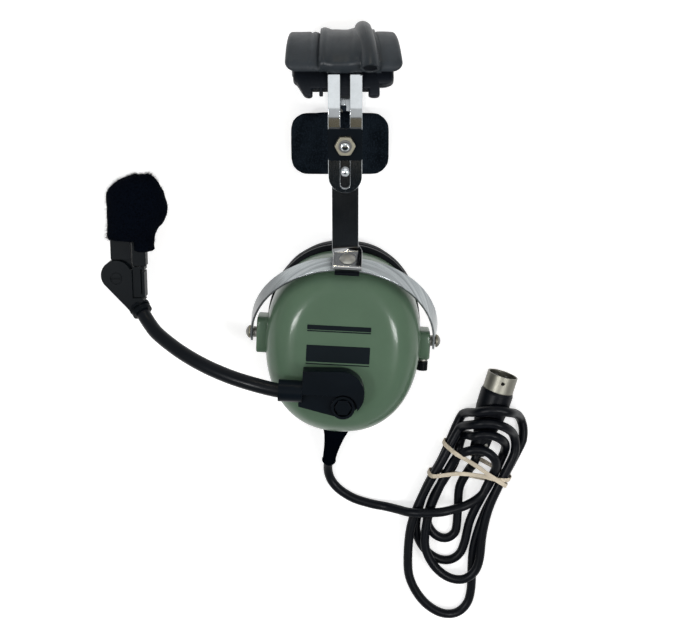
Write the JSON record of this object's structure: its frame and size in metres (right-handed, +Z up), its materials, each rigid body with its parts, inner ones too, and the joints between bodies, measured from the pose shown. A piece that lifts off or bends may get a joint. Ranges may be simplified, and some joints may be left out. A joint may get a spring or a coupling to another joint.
{
  "type": "single-ear aviation headset",
  "caption": "Single-ear headset with a domed ear cup, stirrup, sliding padded headband, temple pad, boom microphone with a windscreen, and a banded hank of cord ending in a plug.",
  "frame": {"origin": "on the table, below the centre of the headset's bounding box without its cord", "axes": "+Z up from the table, +Y from the ear cup to the crown of the headband, +X to the right seen from above with the crown at the top"},
  "size_m": [0.2422, 0.3539, 0.0735],
  "materials": {
    "dome_plastic": "matt sage green moulding",
    "label": "satin dark panel",
    "black_plastic": "matt black moulding",
    "seal_skin": "soft matt skin over a gel filling",
    "speaker_steel": "plain steel basket",
    "magnet": "dull grey magnet",
    "board": "laminate board",
    "foam": "open foam",
    "screw_steel": "dull plated steel",
    "brass": "turned brass",
    "spring_steel": "bright polished strip",
    "black_metal": "satin black on metal",
    "tube_metal": "satin black on metal",
    "pad_vinyl": "matt black vinyl, soft",
    "pad_knit": "black knitted cover over foam",
    "screen_foam": "open black foam",
    "cord_jacket": "matt black jacket",
    "plug_nickel": "satin nickel",
    "band_rubber": "tan rubber"
  },
  "bodies": {
    "ear_cup": {"ear_dome": "dome_plastic", "label_plate": "label", "seal_plate": "black_plastic", "ear_seal": "seal_skin", "speaker_frame": "speaker_steel", "speaker_magnet": "magnet", "speaker_grille": "black_plastic", "terminal_board": "board", "acoustic_foam": "foam", "volume_pot": "brass", "pot_nut": "screw_steel", "pivot_bushings": "brass", "pivot_screws": "screw_steel", "spring_washers": "spring_steel", "boom_washer": "screw_steel", "boom_bolt": "screw_steel", "boom_bolt_nut": "screw_steel", "strain_relief": "cord_jacket", "cord_lead": "cord_jacket", "cord_hank": "cord_jacket", "rubber_band": "band_rubber", "plug_body": "cord_jacket", "plug_shell": "plug_nickel", "plug_insert": "black_plastic", "plug_pins": "brass", "plug_screws": "screw_steel"},
    "stirrup": {"stirrup": "spring_steel", "stirrup_spacer": "black_plastic", "swivel_rivet": "screw_steel", "swivel_washer": "screw_steel"},
    "lower_band": {"lower_band": "spring_steel", "clamp_plate": "black_metal", "clamp_bolt": "screw_steel", "clamp_nut": "spring_steel", "guide_pin": "screw_steel"},
    "upper_band": {"slotted_band": "spring_steel", "head_pad_outer": "pad_vinyl", "head_pad_wrap": "pad_vinyl", "head_pad_inner": "pad_vinyl", "temple_arm": "spring_steel", "temple_rivets": "screw_steel"},
    "temple": {"temple_pin": "screw_steel", "temple_plate": "black_plastic", "temple_pad": "pad_knit"},
    "boom": {"boom_block": "black_metal", "boom_collar": "black_metal", "boom_tube": "tube_metal", "elbow_knuckle": "black_metal", "elbow_housing": "black_metal", "elbow_block": "black_metal", "elbow_screw": "screw_steel"},
    "mic": {"mic_arm": "black_plastic", "mic_capsule": "screw_steel", "windscreen": "screen_foam"},
    "knob": {"volume_shaft": "screw_steel", "volume_knob": "black_plastic"}
  },
  "joints": [
    {"name": "stirrup_tilt", "type": "hinge", "parent": "ear_cup", "child": "stirrup", "pos_m": [0.0401, -0.0446, 0.03], "axis": [0.9986, -0.0523, 0], "range_deg": [-2, 45]},
    {"name": "band_swivel", "type": "hinge", "parent": "stirrup", "child": "lower_band", "pos_m": [0.04254, 0.00195, 0.05769], "axis": [0.0442, 0.8441, 0.5344], "range_deg": [-8, 8]},
    {"name": "band_slide", "type": "slide", "parent": "lower_band", "child": "upper_band", "axis": [0, 0.9877, 0.1564], "range_m": [-0.0088, 0.0065]},
    {"name": "temple_tilt", "type": "hinge", "parent": "upper_band", "child": "temple", "pos_m": [0.0379, 0.0613, 0.0072], "axis": [1, 0, 0], "range_deg": [-10, 10]},
    {"name": "boom_swivel", "type": "hinge", "parent": "ear_cup", "child": "boom", "pos_m": [0.04014, -0.07444, 0.067], "axis": [0, 0, 1], "range_deg": [-15, 60]},
    {"name": "mic_tilt", "type": "hinge", "parent": "boom", "child": "mic", "pos_m": [-0.08461, -0.01103, 0.03], "axis": [0, 0, 1], "range_deg": [0, 50]},
    {"name": "knob_turn", "type": "hinge", "parent": "ear_cup", "child": "knob", "pos_m": [0.08465, -0.06196, 0.028], "axis": [0.0523, 0.9986, 0], "range_deg": [0, 280]}
  ]
}
